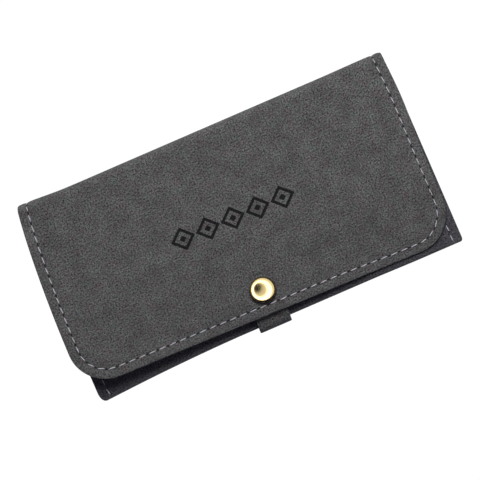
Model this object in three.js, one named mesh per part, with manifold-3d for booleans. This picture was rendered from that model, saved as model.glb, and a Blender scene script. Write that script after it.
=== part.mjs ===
// Envelope pouch for jewellery in lined suede, closed by a flap and a press stud on a strap.
// It lies on its back: +X runs along its length, +Y points to the top fold and +Z out of the
// front. The origin is the middle of the flat back face, and every size is in millimetres.

import * as THREE from 'three';
import { mergeVertices } from 'three/addons/utils/BufferGeometryUtils.js';
import Module from 'manifold-3d';

const { lerp, smoothstep, degToRad, radToDeg } = THREE.MathUtils;

// Cloth: suede outside, lining inside, and the thin layer of glue between them
const suede = 0.9;
const glue = 0.2;
const lining = 0.5;

// Body: one strip folded up at the bottom and sewn along both sides
const bodyWidth = 190;
const bodyHeight = 98.5;
const sideSeam = 5.5;
const bottomThickness = 4.6;
const pocketDepth = 5.6;
const crownFrom = 62;
const pillowPower = 5;
const mouthInset = 7;
const liningInset = 6;

// Flap: it turns over at the top and leaves a strip of the front to show below it. It lies a
// little askew, and its lower corners hang down.
const frontShown = 4.7;
const flapFlare = 2.4;
const flareLength = 45;
const flapLean = 3;
const flapSkew = 1.9;
const flapCorner = 16;
const flapRest = 0.4;
const flapRise = 66;
const cornerDroop = 5.2;
const droopPower = 3;
const edgeDip = 0.6;
const edgeDipLength = 5;
const foldBend = 4.8;
const foldCut = 45;
const sideFoldHeight = 7;

// Strap: it comes out of a slit in the bottom fold and up over the front, under the flap
const strapWidth = 16;
const strapLean = 0.9;
const strapProud = 2.6;
const strapPastSnap = 9;
const strapCorner = 6;
const strapLift = 0.6;
const exitBend = 0.5;
const frontBend = 1.2;

// Press stud: a cap riveted to its socket through the flap, an eyelet to its stud through
// the strap, and a spring ring in the socket that grips the stud
const snapFromEdge = 11.5;
const capRadius = 6.25;
const capHeight = 2.2;
const capRim = 0.5;
const postRadius = 1.6;
const postWall = 0.5;
const clinchWidth = 0.7;
const clinchHeight = 0.5;
const socketRadius = 5.2;
const socketHeight = 2.6;
const socketWeb = 0.4;
const socketBore = 2.75;
const springOut = 0.25;
const springWire = 0.44;
const springHeight = 0.55;
const springOpening = 40;
const studRadius = 4.9;
const studFlange = 0.4;
const studWaist = 0.25;
const studPlay = 0.4;
const eyeletRadius = 4.5;
const eyeletFlange = 0.4;
const tubeRadius = 1.5;
const tubeWall = 0.5;

// Clearances: cut ends, faces that rest on each other, metal in metal and metal in cloth
const cutGap = 0.3;
const seat = 0.2;
const fit = 0.1;
const holeEase = 0.3;

// How finely bends and turned pieces are divided
const bendSteps = 3;
const foldSteps = 8;
const frontRows = 9;
const sideSteps = 7;
const flapRows = 11;
const cornerSteps = 6;
const strapBendSteps = 5;
const strapRows = 4;
const tipSteps = 4;
const turnedSides = 32;
const holeSides = 20;
const ringSteps = 24;
const wireSegments = 3;

// Levels and places that follow from the sizes
const wall = suede + glue + lining;
const seamThickness = 2 * wall + glue;
const crownThickness = 2 * wall + pocketDepth;
const foldHeight = crownThickness + flapRest + wall;
const top = bodyHeight / 2;
const bottom = - bodyHeight / 2;
const seamLine = bodyWidth / 2 - sideSeam;
const mouth = top - mouthInset;
const flapStart = top - foldBend;
const flapLength = bodyHeight - frontShown - foldBend;
const snapY = bottom + frontShown + snapFromEdge;
const snapX = - flapLean * ( flapStart - snapY ) / flapLength;

const eyeletLevel = thickness( snapX, snapY + eyeletRadius ) + seat;
const strapLevel = eyeletLevel + eyeletFlange + seat + wall;
const studLevel = strapLevel + seat;
const socketLevel = studLevel + studFlange + seat;
const flapLevel = socketLevel + socketHeight + seat + wall;
const capLevel = flapLevel + seat;

const library = await Module();
library.setup();

// Solids

function signedVolume( corners, faces ) {

	const [ a, b, c ] = [ new THREE.Vector3(), new THREE.Vector3(), new THREE.Vector3() ];
	let sum = 0;
	for ( let i = 0; i < faces.length; i += 3 ) {

		a.fromArray( corners, 3 * faces[ i ] );
		b.fromArray( corners, 3 * faces[ i + 1 ] );
		c.fromArray( corners, 3 * faces[ i + 2 ] );
		sum += a.dot( b.cross( c ) ) / 6;

	}

	return sum;

}

// The faces without those that a turned shape draws down to nothing on its axis
function wholeFaces( index ) {

	const faces = [];
	for ( let i = 0; i < index.length; i += 3 ) {

		const [ a, b, c ] = index.slice( i, i + 3 );
		if ( a !== b && b !== c && c !== a ) faces.push( a, b, c );

	}

	return new Uint32Array( faces );

}

// A three.js geometry as a closed solid, with its corners merged and its faces outwards
function toSolid( geometry ) {

	const plain = geometry.clone();
	plain.deleteAttribute( 'normal' );
	plain.deleteAttribute( 'uv' );
	const merged = mergeVertices( plain );
	const corners = new Float32Array( merged.attributes.position.array );
	const faces = wholeFaces( merged.index.array );
	if ( signedVolume( corners, faces ) < 0 ) faces.reverse();
	return new library.Manifold( new library.Mesh( { numProp: 3, vertProperties: corners, triVerts: faces } ) );

}

function toGeometry( solid ) {

	const mesh = solid.getMesh();
	const geometry = new THREE.BufferGeometry();
	geometry.setAttribute( 'position', new THREE.BufferAttribute( mesh.vertProperties, 3 ) );
	geometry.setIndex( new THREE.BufferAttribute( mesh.triVerts, 1 ) );
	geometry.computeVertexNormals();
	return geometry;

}

// The round hole that a rivet passes, as an upright cylinder longer than the cloth is thick
function rivetHole( level, radius ) {

	const geometry = new THREE.CylinderGeometry( radius, radius, 4 * wall, holeSides );
	geometry.rotateX( Math.PI / 2 );
	geometry.translate( snapX, snapY, level - wall / 2 );
	return toSolid( geometry );

}

// A turned piece from its outline as pairs of radius and height, standing on its own axis.
// An outline that doesn't touch the axis is a ring, and comes back to where it starts.
function turned( outline ) {

	const closed = outline[ 0 ][ 0 ] > 0 ? [ ...outline, outline[ 0 ] ] : outline;
	const points = closed.map( ( [ radius, height ] ) => new THREE.Vector2( radius, height ) );
	const geometry = new THREE.LatheGeometry( points, turnedSides );
	geometry.rotateX( Math.PI / 2 );
	return toGeometry( toSolid( geometry ) );

}

// Cloth in cross-section is a line of points along its outer face. Each carries the direction
// that leads into the cloth, so every layer is the same line taken to its own depth.
function arc( y, z, radius, from, to, steps ) {

	return Array.from( { length: steps + 1 }, ( _, i ) => {

		const angle = degToRad( lerp( from, to, i / steps ) );
		const [ along, up ] = [ Math.cos( angle ), Math.sin( angle ) ];
		return { y: y + radius * along, z: z + radius * up, inY: - along, inZ: - up };

	} );

}

function level( y, z ) {

	return { y, z, inY: 0, inZ: - 1 };

}

function sunk( point, depth ) {

	return { ...point, y: point.y + point.inY * depth, z: point.z + point.inZ * depth };

}

// A closed sheet between two depths of a grid of such points, given as rows of points
function sheet( grid, outerDepth, innerDepth ) {

	const [ rows, columns ] = [ grid.length, grid[ 0 ].length ];
	const under = rows * columns;
	const corners = [];
	for ( const depth of [ outerDepth, innerDepth ] ) {

		for ( const point of grid.flat() ) {

			const { x, y, z } = sunk( point, depth );
			corners.push( x, y, z );

		}

	}

	const faces = [];
	const quad = ( a, b, c, d ) => faces.push( a, b, c, a, c, d );
	for ( let i = 0; i < rows - 1; i ++ ) {

		for ( let j = 0; j < columns - 1; j ++ ) {

			const [ a, b ] = [ i * columns + j, ( i + 1 ) * columns + j ];
			quad( a, b, b + 1, a + 1 );
			quad( under + a, under + a + 1, under + b + 1, under + b );

		}

	}

	for ( let i = 0; i < rows - 1; i ++ ) {

		const [ a, b ] = [ i * columns, ( i + 1 ) * columns ];
		quad( a, under + a, under + b, b );
		quad( a + columns - 1, b + columns - 1, under + b + columns - 1, under + a + columns - 1 );

	}

	for ( let j = 0; j < columns - 1; j ++ ) {

		const last = ( rows - 1 ) * columns + j;
		quad( j, j + 1, under + j + 1, under + j );
		quad( last, under + last, under + last + 1, last + 1 );

	}

	const geometry = new THREE.BufferGeometry();
	geometry.setAttribute( 'position', new THREE.Float32BufferAttribute( corners, 3 ) );
	geometry.setIndex( faces );
	return toSolid( geometry );

}

// A solid that runs along X through a closed outline at each station
function loft( stations, outlineAt ) {

	const outlines = stations.map( outlineAt );
	const count = outlines[ 0 ].length;
	const corners = stations.flatMap( ( x, i ) => outlines[ i ].flatMap( ( { y, z } ) => [ x, y, z ] ) );
	const faces = [];
	for ( let i = 0; i < stations.length - 1; i ++ ) {

		for ( let k = 0; k < count; k ++ ) {

			const [ a, b ] = [ i * count + k, i * count + ( k + 1 ) % count ];
			faces.push( a, b, b + count, a, b + count, a + count );

		}

	}

	const flat = ( outline ) => outline.map( ( { y, z } ) => new THREE.Vector2( y, z ) );
	const forward = THREE.ShapeUtils.area( flat( outlines[ 0 ] ) ) > 0;
	const lastRing = ( stations.length - 1 ) * count;
	for ( const [ ring, outwards ] of [ [ 0, ! forward ], [ lastRing, forward ] ] ) {

		for ( const [ a, b, c ] of THREE.ShapeUtils.triangulateShape( flat( outlines[ ring / count ] ), [] ) ) {

			faces.push( ring + a, ring + ( outwards ? b : c ), ring + ( outwards ? c : b ) );

		}

	}

	const geometry = new THREE.BufferGeometry();
	geometry.setAttribute( 'position', new THREE.Float32BufferAttribute( corners, 3 ) );
	geometry.setIndex( faces );
	return toSolid( geometry );

}

// Shape of the pouch

// Fractions from -1 to 1 across the pouch, closer together towards its sides
function across( steps ) {

	const half = Array.from( { length: steps }, ( _, i ) => 1 - ( i / steps ) ** 2 );
	return [ ...half.map( ( s ) => - s ), 0, ...half.toReversed() ];

}

// The pouch is a flat pillow, thin at its sewn sides and full in the middle
function pillow( x ) {

	return 1 - Math.min( 1, Math.abs( x ) / seamLine ) ** pillowPower;

}

function thickness( x, y ) {

	const rise = smoothstep( y, bottom + bottomThickness / 2, bottom + crownFrom );
	return lerp( seamThickness, lerp( bottomThickness, crownThickness, rise ), pillow( x ) );

}

// The top fold is a strip of wall between two bends, and stands lower at its two ends
function foldAt( x ) {

	const height = lerp( sideFoldHeight, foldHeight, pillow( x ) );
	const bend = Math.min( foldBend, height / 2 );
	return { height, bend, y: top - bend };

}

const stations = [ - bodyWidth / 2, ...across( sideSteps ).map( ( s ) => s * seamLine ), bodyWidth / 2 ];

// Half the gap between two cut ends, as an angle on a bend
function halfCut( bend ) {

	return radToDeg( cutGap / 2 / bend );

}

function gridFrom( columns ) {

	return columns[ 0 ].map( ( _, i ) => columns.map( ( points, j ) => ( { x: stations[ j ], ...points[ i ] } ) ) );

}

// Body

function backBend( x ) {

	const fold = foldAt( x );
	return arc( fold.y, fold.bend, fold.bend, - foldCut - halfCut( fold.bend ), - 90, bendSteps );

}

function frontFrom( x, start, end ) {

	return Array.from( { length: frontRows }, ( _, i ) => {

		const y = lerp( start, end, ( i + 1 ) / frontRows );
		return level( y, thickness( x, y ) );

	} );

}

function bodyShell() {

	const grid = gridFrom( stations.map( ( x ) => {

		const radius = thickness( x, bottom ) / 2;
		const fold = arc( bottom + radius, radius, radius, - 90, - 270, foldSteps );
		return [ ...backBend( x ), ...fold, ...frontFrom( x, bottom + radius, mouth ) ];

	} ) );
	const slit = new THREE.BoxGeometry( strapWidth + 2 * holeEase, 4 * suede, wall + 2 * holeEase );
	slit.translate( strapCentre( bottom ), bottom, bottomThickness / 2 );
	return sheet( grid, 0, suede ).subtract( toSolid( slit ) );

}

// The bag of the lining stops short of the bottom fold, so the strap's root has room there
function bag( x, depth, low, high ) {

	const radius = thickness( x, low ) / 2 - depth;
	const turn = arc( low + radius, depth + radius, radius, - 90, - 270, foldSteps );
	return [ ...turn, ...frontFrom( x, low + radius, high ).map( ( point ) => sunk( point, depth ) ) ];

}

function bodyLining() {

	const outside = loft( stations, ( x ) => [
		...backBend( x ).map( ( point ) => sunk( point, suede + glue ) ),
		...bag( x, suede + glue, bottom + liningInset, mouth ),
		level( mouth, wall ),
		...backBend( x ).map( ( point ) => sunk( point, wall ) ).toReversed(),
	] );
	const past = mouth + wall;
	const pocket = loft( stations.slice( 1, - 1 ), ( x ) => [
		...bag( x, wall, bottom + liningInset + lining, past ),
		level( past, wall ),
	] );
	return outside.subtract( pocket );

}

// Top fold

function topFold( outerDepth, innerDepth ) {

	const grid = gridFrom( stations.map( ( x ) => {

		const fold = foldAt( x );
		const cut = halfCut( fold.bend );
		const lower = arc( fold.y, fold.bend, fold.bend, cut - foldCut, 0, bendSteps );
		const upper = arc( fold.y, fold.height - fold.bend, fold.bend, 0, foldCut - cut, bendSteps );
		const middle = { y: top, z: fold.height / 2, inY: - 1, inZ: 0 };
		return [ ...lower.slice( 0, - 1 ), middle, ...upper.slice( 1 ) ];

	} ) );
	return sheet( grid, outerDepth, innerDepth );

}

// Flap

// How far the flap has come down from the fold at each row: evenly first, then round its corners
function flapDistances() {

	const straight = flapLength - flapCorner;
	const even = Array.from( { length: flapRows }, ( _, i ) => ( {
		down: straight * ( i + 1 ) / flapRows,
		inset: 0,
	} ) );
	const round = Array.from( { length: cornerSteps }, ( _, i ) => {

		const angle = ( i + 1 ) / cornerSteps * Math.PI / 2;
		return { down: straight + flapCorner * Math.sin( angle ), inset: flapCorner * ( 1 - Math.cos( angle ) ) };

	} );
	return [ ...even, ...round ];

}

function flapPoint( { down, inset }, s ) {

	const share = down / flapLength;
	const flare = flapFlare * Math.sin( Math.min( 1, down / flareLength ) * Math.PI / 2 );
	const x = s * ( bodyWidth / 2 + flare - inset ) - flapLean * share;
	const y = flapStart - down - flapSkew * share * s;
	const low = flapLevel - cornerDroop * Math.abs( s ) ** droopPower;
	const dip = edgeDip * smoothstep( down, flapLength - edgeDipLength, flapLength );
	const z = lerp( foldAt( x ).height, low, smoothstep( down, 0, flapRise ) ) - dip;
	return { x, ...level( y, z ) };

}

function flap( outerDepth, innerDepth ) {

	const steps = across( sideSteps + 1 );
	const bends = steps.map( ( s ) => {

		const x = s * bodyWidth / 2;
		const fold = foldAt( x );
		const from = foldCut + halfCut( fold.bend );
		const points = arc( fold.y, fold.height - fold.bend, fold.bend, from, 90, bendSteps );
		return points.map( ( point ) => ( { x, ...point } ) );

	} );
	const bendGrid = bends[ 0 ].map( ( _, i ) => bends.map( ( points ) => points[ i ] ) );
	const flatGrid = flapDistances().map( ( distance ) => steps.map( ( s ) => flapPoint( distance, s ) ) );
	const cloth = sheet( [ ...bendGrid, ...flatGrid ], outerDepth, innerDepth );
	return cloth.subtract( rivetHole( flapLevel, postRadius + holeEase ) );

}

// Strap

function strapCentre( y ) {

	return snapX + strapLean * ( y - snapY ) / ( snapY - bottom );

}

const strapOuter = bottom - strapProud;
const rootUnder = ( bottomThickness - wall ) / 2;
const rootTop = rootUnder + exitBend + wall;

function strapRoot() {

	const exit = exitBend + wall;
	const points = [
		{ y: bottom + liningInset - cutGap, z: rootUnder, inY: 0, inZ: 1 },
		...arc( strapOuter + exit, rootTop, exit, - 90, - 180, strapBendSteps ),
	];
	const grid = points.map( ( point ) => [ - 1, 1 ].map( ( s ) => ( {
		x: strapCentre( bottom ) + s * strapWidth / 2,
		...point,
	} ) ) );
	return sheet( grid, 0, wall );

}

function strapFront( outerDepth, innerDepth ) {

	const bend = frontBend + wall;
	const bendLevel = bottomThickness + strapLift - frontBend;
	const bendEnd = strapOuter + bend;
	const tip = snapY + strapPastSnap;
	const flatFrom = snapY - studRadius;
	const riseTo = ( y ) => level( y, lerp( bendLevel + bend, strapLevel, smoothstep( y, bendEnd, flatFrom ) ) );
	const straight = [
		{ y: strapOuter, z: rootTop + cutGap, inY: 1, inZ: 0 },
		...arc( bendEnd, bendLevel, bend, 180, 90, strapBendSteps ),
		...Array.from( { length: strapRows }, ( _, i ) => riseTo( lerp( bendEnd, flatFrom, ( i + 1 ) / strapRows ) ) ),
	].map( ( point ) => ( { inset: 0, ...point } ) );
	const round = Array.from( { length: tipSteps + 1 }, ( _, i ) => {

		const angle = i / tipSteps * Math.PI / 2;
		const y = tip - strapCorner * ( 1 - Math.sin( angle ) );
		return { inset: strapCorner * ( 1 - Math.cos( angle ) ), ...riseTo( y ) };

	} );

	const grid = [ ...straight, ...round ].map( ( { inset, ...point } ) => [ - 1, - 0.5, 0, 0.5, 1 ].map( ( s ) => ( {
		x: strapCentre( point.y ) + s * ( strapWidth / 2 - inset ),
		...point,
	} ) ) );
	return sheet( grid, outerDepth, innerDepth ).subtract( rivetHole( strapLevel, tubeRadius + holeEase ) );

}

// Press stud

// The domed cap with its rolled rim, and the hollow post that is clinched under the socket
function capOutline() {

	const domeSteps = 7;
	const rise = capHeight - capRim;
	const domeRadius = ( capRadius ** 2 + rise ** 2 ) / ( 2 * rise );
	const dome = Array.from( { length: domeSteps }, ( _, i ) => {

		const radius = capRadius * ( 1 - ( i + 1 ) / domeSteps );
		return [ radius, capHeight - domeRadius + Math.sqrt( domeRadius ** 2 - radius ** 2 ) ];

	} );
	const web = seat + wall + seat + socketWeb + fit;
	return [
		[ 0, 0 ],
		[ postRadius - postWall, 0 ],
		[ postRadius - postWall, - web - clinchHeight ],
		[ postRadius + clinchWidth / 2, - web - clinchHeight ],
		[ postRadius + clinchWidth, - web - clinchHeight / 2 ],
		[ postRadius + clinchWidth, - web ],
		[ postRadius, - web ],
		[ postRadius, 0 ],
		[ capRadius - capRim / 2, 0 ],
		[ capRadius, capRim / 2 ],
		[ capRadius, capRim ],
		...dome,
	];

}

function socketOutline() {

	const hole = postRadius + fit;
	const groove = socketBore + springOut + springWire / 2 + fit;
	const grooveHalf = springWire / 2 + fit;
	const chamfer = socketWeb;
	return [
		[ socketBore, springHeight - grooveHalf ],
		[ groove, springHeight - grooveHalf ],
		[ groove, springHeight + grooveHalf ],
		[ socketBore, springHeight + grooveHalf ],
		[ socketBore, socketHeight - socketWeb ],
		[ hole, socketHeight - socketWeb ],
		[ hole, socketHeight ],
		[ socketRadius - chamfer, socketHeight ],
		[ socketRadius, socketHeight - chamfer ],
		[ socketRadius, chamfer ],
		[ socketRadius - chamfer, 0 ],
		[ socketBore, 0 ],
	].toReversed();

}

function studOutline() {

	const bore = tubeRadius + fit;
	const knob = socketBore - studPlay;
	const knobHeight = seat + socketHeight - socketWeb - fit - clinchHeight - seat;
	const bulge = studFlange + seat + springHeight + springWire;
	return [
		[ bore, 0 ],
		[ studRadius, 0 ],
		[ studRadius, studFlange ],
		[ knob, studFlange ],
		[ knob - studWaist, studFlange + seat + springHeight ],
		[ knob, bulge ],
		[ knob - studWaist, studFlange + knobHeight ],
		[ bore, studFlange + knobHeight ],
	];

}

function eyeletOutline() {

	const reach = eyeletFlange + seat + wall + seat + studFlange + springHeight;
	return [
		[ 0, 0 ],
		[ eyeletRadius, 0 ],
		[ eyeletRadius, eyeletFlange ],
		[ tubeRadius, eyeletFlange ],
		[ tubeRadius, reach ],
		[ tubeRadius - tubeWall, reach ],
		[ tubeRadius - tubeWall, eyeletFlange ],
		[ 0, eyeletFlange ],
	];

}

// The spring is a ring of wire with an opening, so that it can widen over the stud
class OpenRing extends THREE.Curve {

	getPoint( t ) {

		const angle = degToRad( lerp( springOpening / 2, 360 - springOpening / 2, t ) );
		const radius = socketBore + springOut;
		return new THREE.Vector3( radius * Math.cos( angle ), radius * Math.sin( angle ), 0 );

	}

}

function springRing() {

	const wire = new THREE.Shape().absarc( 0, 0, springWire / 2, 0, 2 * Math.PI );
	const settings = {
		curveSegments: wireSegments,
		steps: ringSteps,
		bevelEnabled: false,
		extrudePath: new OpenRing(),
	};
	return toGeometry( toSolid( new THREE.ExtrudeGeometry( wire, settings ) ) );

}

// Assembly

const materials = {
	suede: { color: 0x535254, roughness: 0.95, metalness: 0 },
	lining: { color: 0x3f3d41, roughness: 0.9, metalness: 0 },
	brass: { color: 0xd9b35c, roughness: 0.2, metalness: 1 },
	steel: { color: 0x9a9a9c, roughness: 0.35, metalness: 1 },
};

function piece( name, finish, geometry, height = null ) {

	const mesh = new THREE.Mesh( geometry, new THREE.MeshStandardMaterial( materials[ finish ] ) );
	mesh.name = name;
	if ( height !== null ) mesh.position.set( snapX, snapY, height );
	return mesh;

}

const pouch = new THREE.Group();

pouch.add(
	piece( 'body_shell', 'suede', toGeometry( bodyShell() ) ),
	piece( 'body_lining', 'lining', toGeometry( bodyLining() ) ),
	piece( 'strap_root', 'suede', toGeometry( strapRoot() ) ),
);

const spine = new THREE.Group();
spine.add(
	piece( 'top_fold_shell', 'suede', toGeometry( topFold( 0, suede ) ) ),
	piece( 'top_fold_lining', 'lining', toGeometry( topFold( suede + glue, wall ) ) ),
);

const lid = new THREE.Group();
lid.add(
	piece( 'flap_shell', 'suede', toGeometry( flap( 0, suede ) ) ),
	piece( 'flap_lining', 'lining', toGeometry( flap( suede + glue, wall ) ) ),
	piece( 'snap_cap', 'brass', turned( capOutline() ), capLevel ),
	piece( 'snap_socket', 'brass', turned( socketOutline() ), socketLevel ),
	piece( 'snap_spring', 'steel', springRing(), socketLevel + springHeight ),
);

const strap = new THREE.Group();
strap.add(
	piece( 'strap_shell', 'suede', toGeometry( strapFront( 0, suede ) ) ),
	piece( 'strap_lining', 'lining', toGeometry( strapFront( suede + glue, wall ) ) ),
	piece( 'snap_stud', 'brass', turned( studOutline() ), studLevel ),
	piece( 'snap_eyelet', 'brass', turned( eyeletOutline() ), eyeletLevel ),
);

pouch.add( spine, lid, strap );

export default pouch;
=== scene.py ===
# %% [markdown]
# # A suede jewellery pouch
#
# The pouch is one long strip of suede with a lining glued to it. The strip is folded up at the
# bottom to make a pocket, folded over at the top to make a flap, and shut by a brass press stud
# on a strap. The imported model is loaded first: it gives each piece its place and its motion.

# %% Load the frame
import math

import bmesh
import bpy
import numpy as np
from mathutils import Matrix, Vector


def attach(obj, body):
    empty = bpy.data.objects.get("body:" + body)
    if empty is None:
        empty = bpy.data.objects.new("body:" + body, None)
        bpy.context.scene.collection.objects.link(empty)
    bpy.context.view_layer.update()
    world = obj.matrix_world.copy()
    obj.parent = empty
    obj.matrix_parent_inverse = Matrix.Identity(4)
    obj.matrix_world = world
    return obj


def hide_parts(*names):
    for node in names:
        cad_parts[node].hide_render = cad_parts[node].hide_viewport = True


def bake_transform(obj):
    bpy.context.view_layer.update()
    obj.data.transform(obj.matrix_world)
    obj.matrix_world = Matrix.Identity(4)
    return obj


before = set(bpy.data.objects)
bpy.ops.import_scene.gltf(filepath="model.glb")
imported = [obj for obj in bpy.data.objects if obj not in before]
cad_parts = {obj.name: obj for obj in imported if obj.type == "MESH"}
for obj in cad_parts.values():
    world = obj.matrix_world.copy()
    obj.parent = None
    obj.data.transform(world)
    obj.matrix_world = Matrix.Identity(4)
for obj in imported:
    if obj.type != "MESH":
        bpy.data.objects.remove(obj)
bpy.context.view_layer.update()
MM = 0.001

# %% [markdown]
# ## Camera
#
# The picture looks straight down on the pouch, which is turned a little. A long lens held about
# 0.9 m above it keeps its sides nearly parallel, as a wide lens held close would not. The frame
# takes in 230 mm at the level of the front.

# %% Camera straight above
SENSOR = 36
CAMERA_OVER = (-3.2, -6.9)
CAMERA_HEIGHT = 911
CAMERA_TURN = -23.4
FRONT_LEVEL = 12.4
VIEW_WIDTH = 230.4

camera_data = bpy.data.cameras.new("camera")
camera_data.sensor_width = SENSOR
camera_data.lens = SENSOR * (CAMERA_HEIGHT - FRONT_LEVEL) / VIEW_WIDTH
camera = bpy.data.objects.new("camera", camera_data)
camera.location = Vector((*CAMERA_OVER, CAMERA_HEIGHT)) * MM
camera.rotation_euler = (0, 0, math.radians(CAMERA_TURN))
bpy.context.scene.collection.objects.link(camera)
bpy.context.scene.camera = camera
print("lens, mm:", round(camera_data.lens, 1))

# %% [markdown]
# ## Colours and nodes
#
# Colours are written as the eye reads them, in sRGB, and turned to the linear values that
# Blender works with. One helper adds a node, sets it and links it, so that each finish below
# reads as a short list of what it is made of.

# %% Colour and node helpers
WHITE = (1, 1, 1, 1)


def linear(code):
    """An sRGB colour such as 0x535254 as linear red, green, blue and alpha."""
    parts = [(code >> shift & 255) / 255 for shift in (16, 8, 0)]
    return (*[c / 12.92 if c <= 0.04045 else ((c + 0.055) / 1.055) ** 2.4 for c in parts], 1)


def add_node(tree, kind, inputs=None, **settings):
    """Adds a node. An input given as a socket, or as a node whose first output is meant, is
    linked, and any other is set."""
    node = tree.nodes.new("ShaderNode" + kind)
    for name, value in settings.items():
        setattr(node, name, value)
    for name, value in (inputs or {}).items():
        if isinstance(value, bpy.types.Node):
            value = value.outputs[0]
        if isinstance(value, bpy.types.NodeSocket):
            tree.links.new(value, node.inputs[name])
        else:
            node.inputs[name].default_value = value
    return node


def new_material(name):
    """An empty material, and its node tree."""
    material = bpy.data.materials.new(name)
    material.use_nodes = True
    material.node_tree.nodes.clear()
    return material, material.node_tree


print("mid grey, linear:", round(linear(0x808080)[0], 3))

# %% [markdown]
# ## Light
#
# The pouch was lit from above its top fold by large soft lights, with faint bluish light all
# round. A sun lamp would throw a hard shadow under the flap, so area lamps are used, and their
# size sets how soft that shadow is. The world looks white to the camera, and the lamps don't
# show in the brass.

# %% World
AMBIENT = 0.036
FAINT_BLUE = (0.62, 0.63, 1.9, 1)

world = bpy.data.worlds.new("studio")
bpy.context.scene.world = world
world.use_nodes = True
sky = world.node_tree
sky.nodes.clear()
rays = add_node(sky, "LightPath").outputs
seen = add_node(sky, "Math", {
    0: rays["Is Camera Ray"], 1: rays["Is Transmission Ray"]}, operation="MAXIMUM")
level = add_node(sky, "MapRange", {"Value": seen, "To Min": AMBIENT, "To Max": 1.0})
hue = add_node(sky, "MixRGB", {"Fac": seen, "Color1": FAINT_BLUE, "Color2": WHITE})
around = add_node(sky, "Background", {"Color": hue, "Strength": level})
add_node(sky, "OutputWorld", {"Surface": around})
print("light from all round:", AMBIENT)

# %% Lamps


def add_lamp(name, position, size, power):
    """A square soft light that faces the pouch, placed in millimetres."""
    data = bpy.data.lights.new(name, "AREA")
    data.shape = "SQUARE"
    data.size = size * MM
    data.energy = power
    lamp = bpy.data.objects.new(name, data)
    lamp.location = Vector(position) * MM
    lamp.rotation_euler = (-lamp.location).to_track_quat("-Z", "Y").to_euler()
    lamp.visible_glossy = False
    bpy.context.scene.collection.objects.link(lamp)
    print(name, "gives", power, "W")


add_lamp("low_light", (314, 863, 600), 350, 0.8)
add_lamp("high_light", (288, 600, 880), 600, 13.3)
add_lamp("front_fill", (620, -520, 450), 600, 1.0)

# %% [markdown]
# The pouch lies on white paper. A plain white sheet would come out grey away from the lamps, so
# to the camera the paper is nearly all glow. In the brass it is dark.

# %% Paper floor
FLOOR_REACH = 3000
FLOOR_DROP = 0.05
PAPER_WHITE = 0xF0F0F0
PAPER_GLOW = 1.05
GLOW_SHARE = 0.97
PAPER_IN_BRASS = (0.01, 0.01, 0.01, 1)

floor_bm = bmesh.new()
bmesh.ops.create_grid(floor_bm, x_segments=1, y_segments=1, size=FLOOR_REACH * MM)
floor_mesh = bpy.data.meshes.new("floor")
floor_bm.to_mesh(floor_mesh)
floor_bm.free()
floor = bpy.data.objects.new("floor", floor_mesh)
floor.location = (0, 0, -FLOOR_DROP * MM)
bpy.context.scene.collection.objects.link(floor)

paper, tree = new_material("white paper backdrop")
shaded = add_node(tree, "BsdfDiffuse", {"Color": linear(PAPER_WHITE)})
white = add_node(tree, "Emission", {"Color": WHITE, "Strength": PAPER_GLOW})
rays = add_node(tree, "LightPath").outputs
share = add_node(tree, "Math", {0: rays["Is Camera Ray"], 1: GLOW_SHARE}, operation="MULTIPLY")
mixed = add_node(tree, "MixShader", {0: share, 1: shaded, 2: white})
dark = add_node(tree, "BsdfDiffuse", {"Color": PAPER_IN_BRASS})
mirrored = add_node(tree, "MixShader", {0: rays["Is Glossy Ray"], 1: mixed, 2: dark})
add_node(tree, "OutputMaterial", {"Surface": mirrored})
floor_mesh.materials.append(paper)
print("floor, mm:", 2 * FLOOR_REACH)

# %% [markdown]
# The brass mirrors a round softbox with a dim middle, where the lens looks through it. It hangs
# in a dark room, so the steep edge of the cap mirrors black. The softbox is a flat card whose
# glow is dimmed by a few soft circles, one after the other. Only the brass sees it.

# %% Softbox that the brass mirrors
SOFTBOX_LEVEL = 800
SOFTBOX_REACH = 5000
BRIGHTEST = 3.6
# For each circle: its centre, the start and end of its soft edge, the glow inside and outside.
SOFT_CIRCLES = [
    ((-171, 8), 270, 480, 0.24, 1.0),
    ((-310, -125), 620, 960, 1.0, 0.27),
    ((-371, -101), 1500, 2000, 1.0, 0.0),
    ((-232, 144), 130, 360, 0.03, 1.0),
    ((1714, 8537), 9380, 9900, 1.0, 0.0),
]

softbox, tree = new_material("softbox")
place = add_node(tree, "TexCoord").outputs["Object"]
strength = BRIGHTEST
for (x, y), inner, outer, inside, outside in SOFT_CIRCLES:
    away = add_node(tree, "VectorMath", {0: place, 1: (x * MM, y * MM, 0)}, operation="DISTANCE")
    level = add_node(tree, "MapRange", {
        "Value": away.outputs["Value"], "From Min": inner * MM, "From Max": outer * MM,
        "To Min": inside, "To Max": outside}, interpolation_type="SMOOTHSTEP")
    strength = add_node(tree, "Math", {0: level, 1: strength}, operation="MULTIPLY")
glow = add_node(tree, "Emission", {"Color": WHITE, "Strength": strength})
add_node(tree, "OutputMaterial", {"Surface": glow})

bm = bmesh.new()
bmesh.ops.create_circle(bm, cap_ends=True, segments=48, radius=SOFTBOX_REACH * MM)
mesh = bpy.data.meshes.new("softbox")
bm.to_mesh(mesh)
bm.free()
mesh.materials.append(softbox)
card = bpy.data.objects.new("softbox", mesh)
card.location = (0, 0, SOFTBOX_LEVEL * MM)
bpy.context.scene.collection.objects.link(card)
card.visible_camera = False
card.visible_diffuse = False
card.visible_shadow = False
print("circles in the softbox:", len(SOFT_CIRCLES))

# %% [markdown]
# ## Measures of the pouch
#
# These are the sizes that the cloth was cut and folded to, in millimetres. The pouch lies on its
# back: x runs along it, y points to the top fold, and z comes out of the front.

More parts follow.
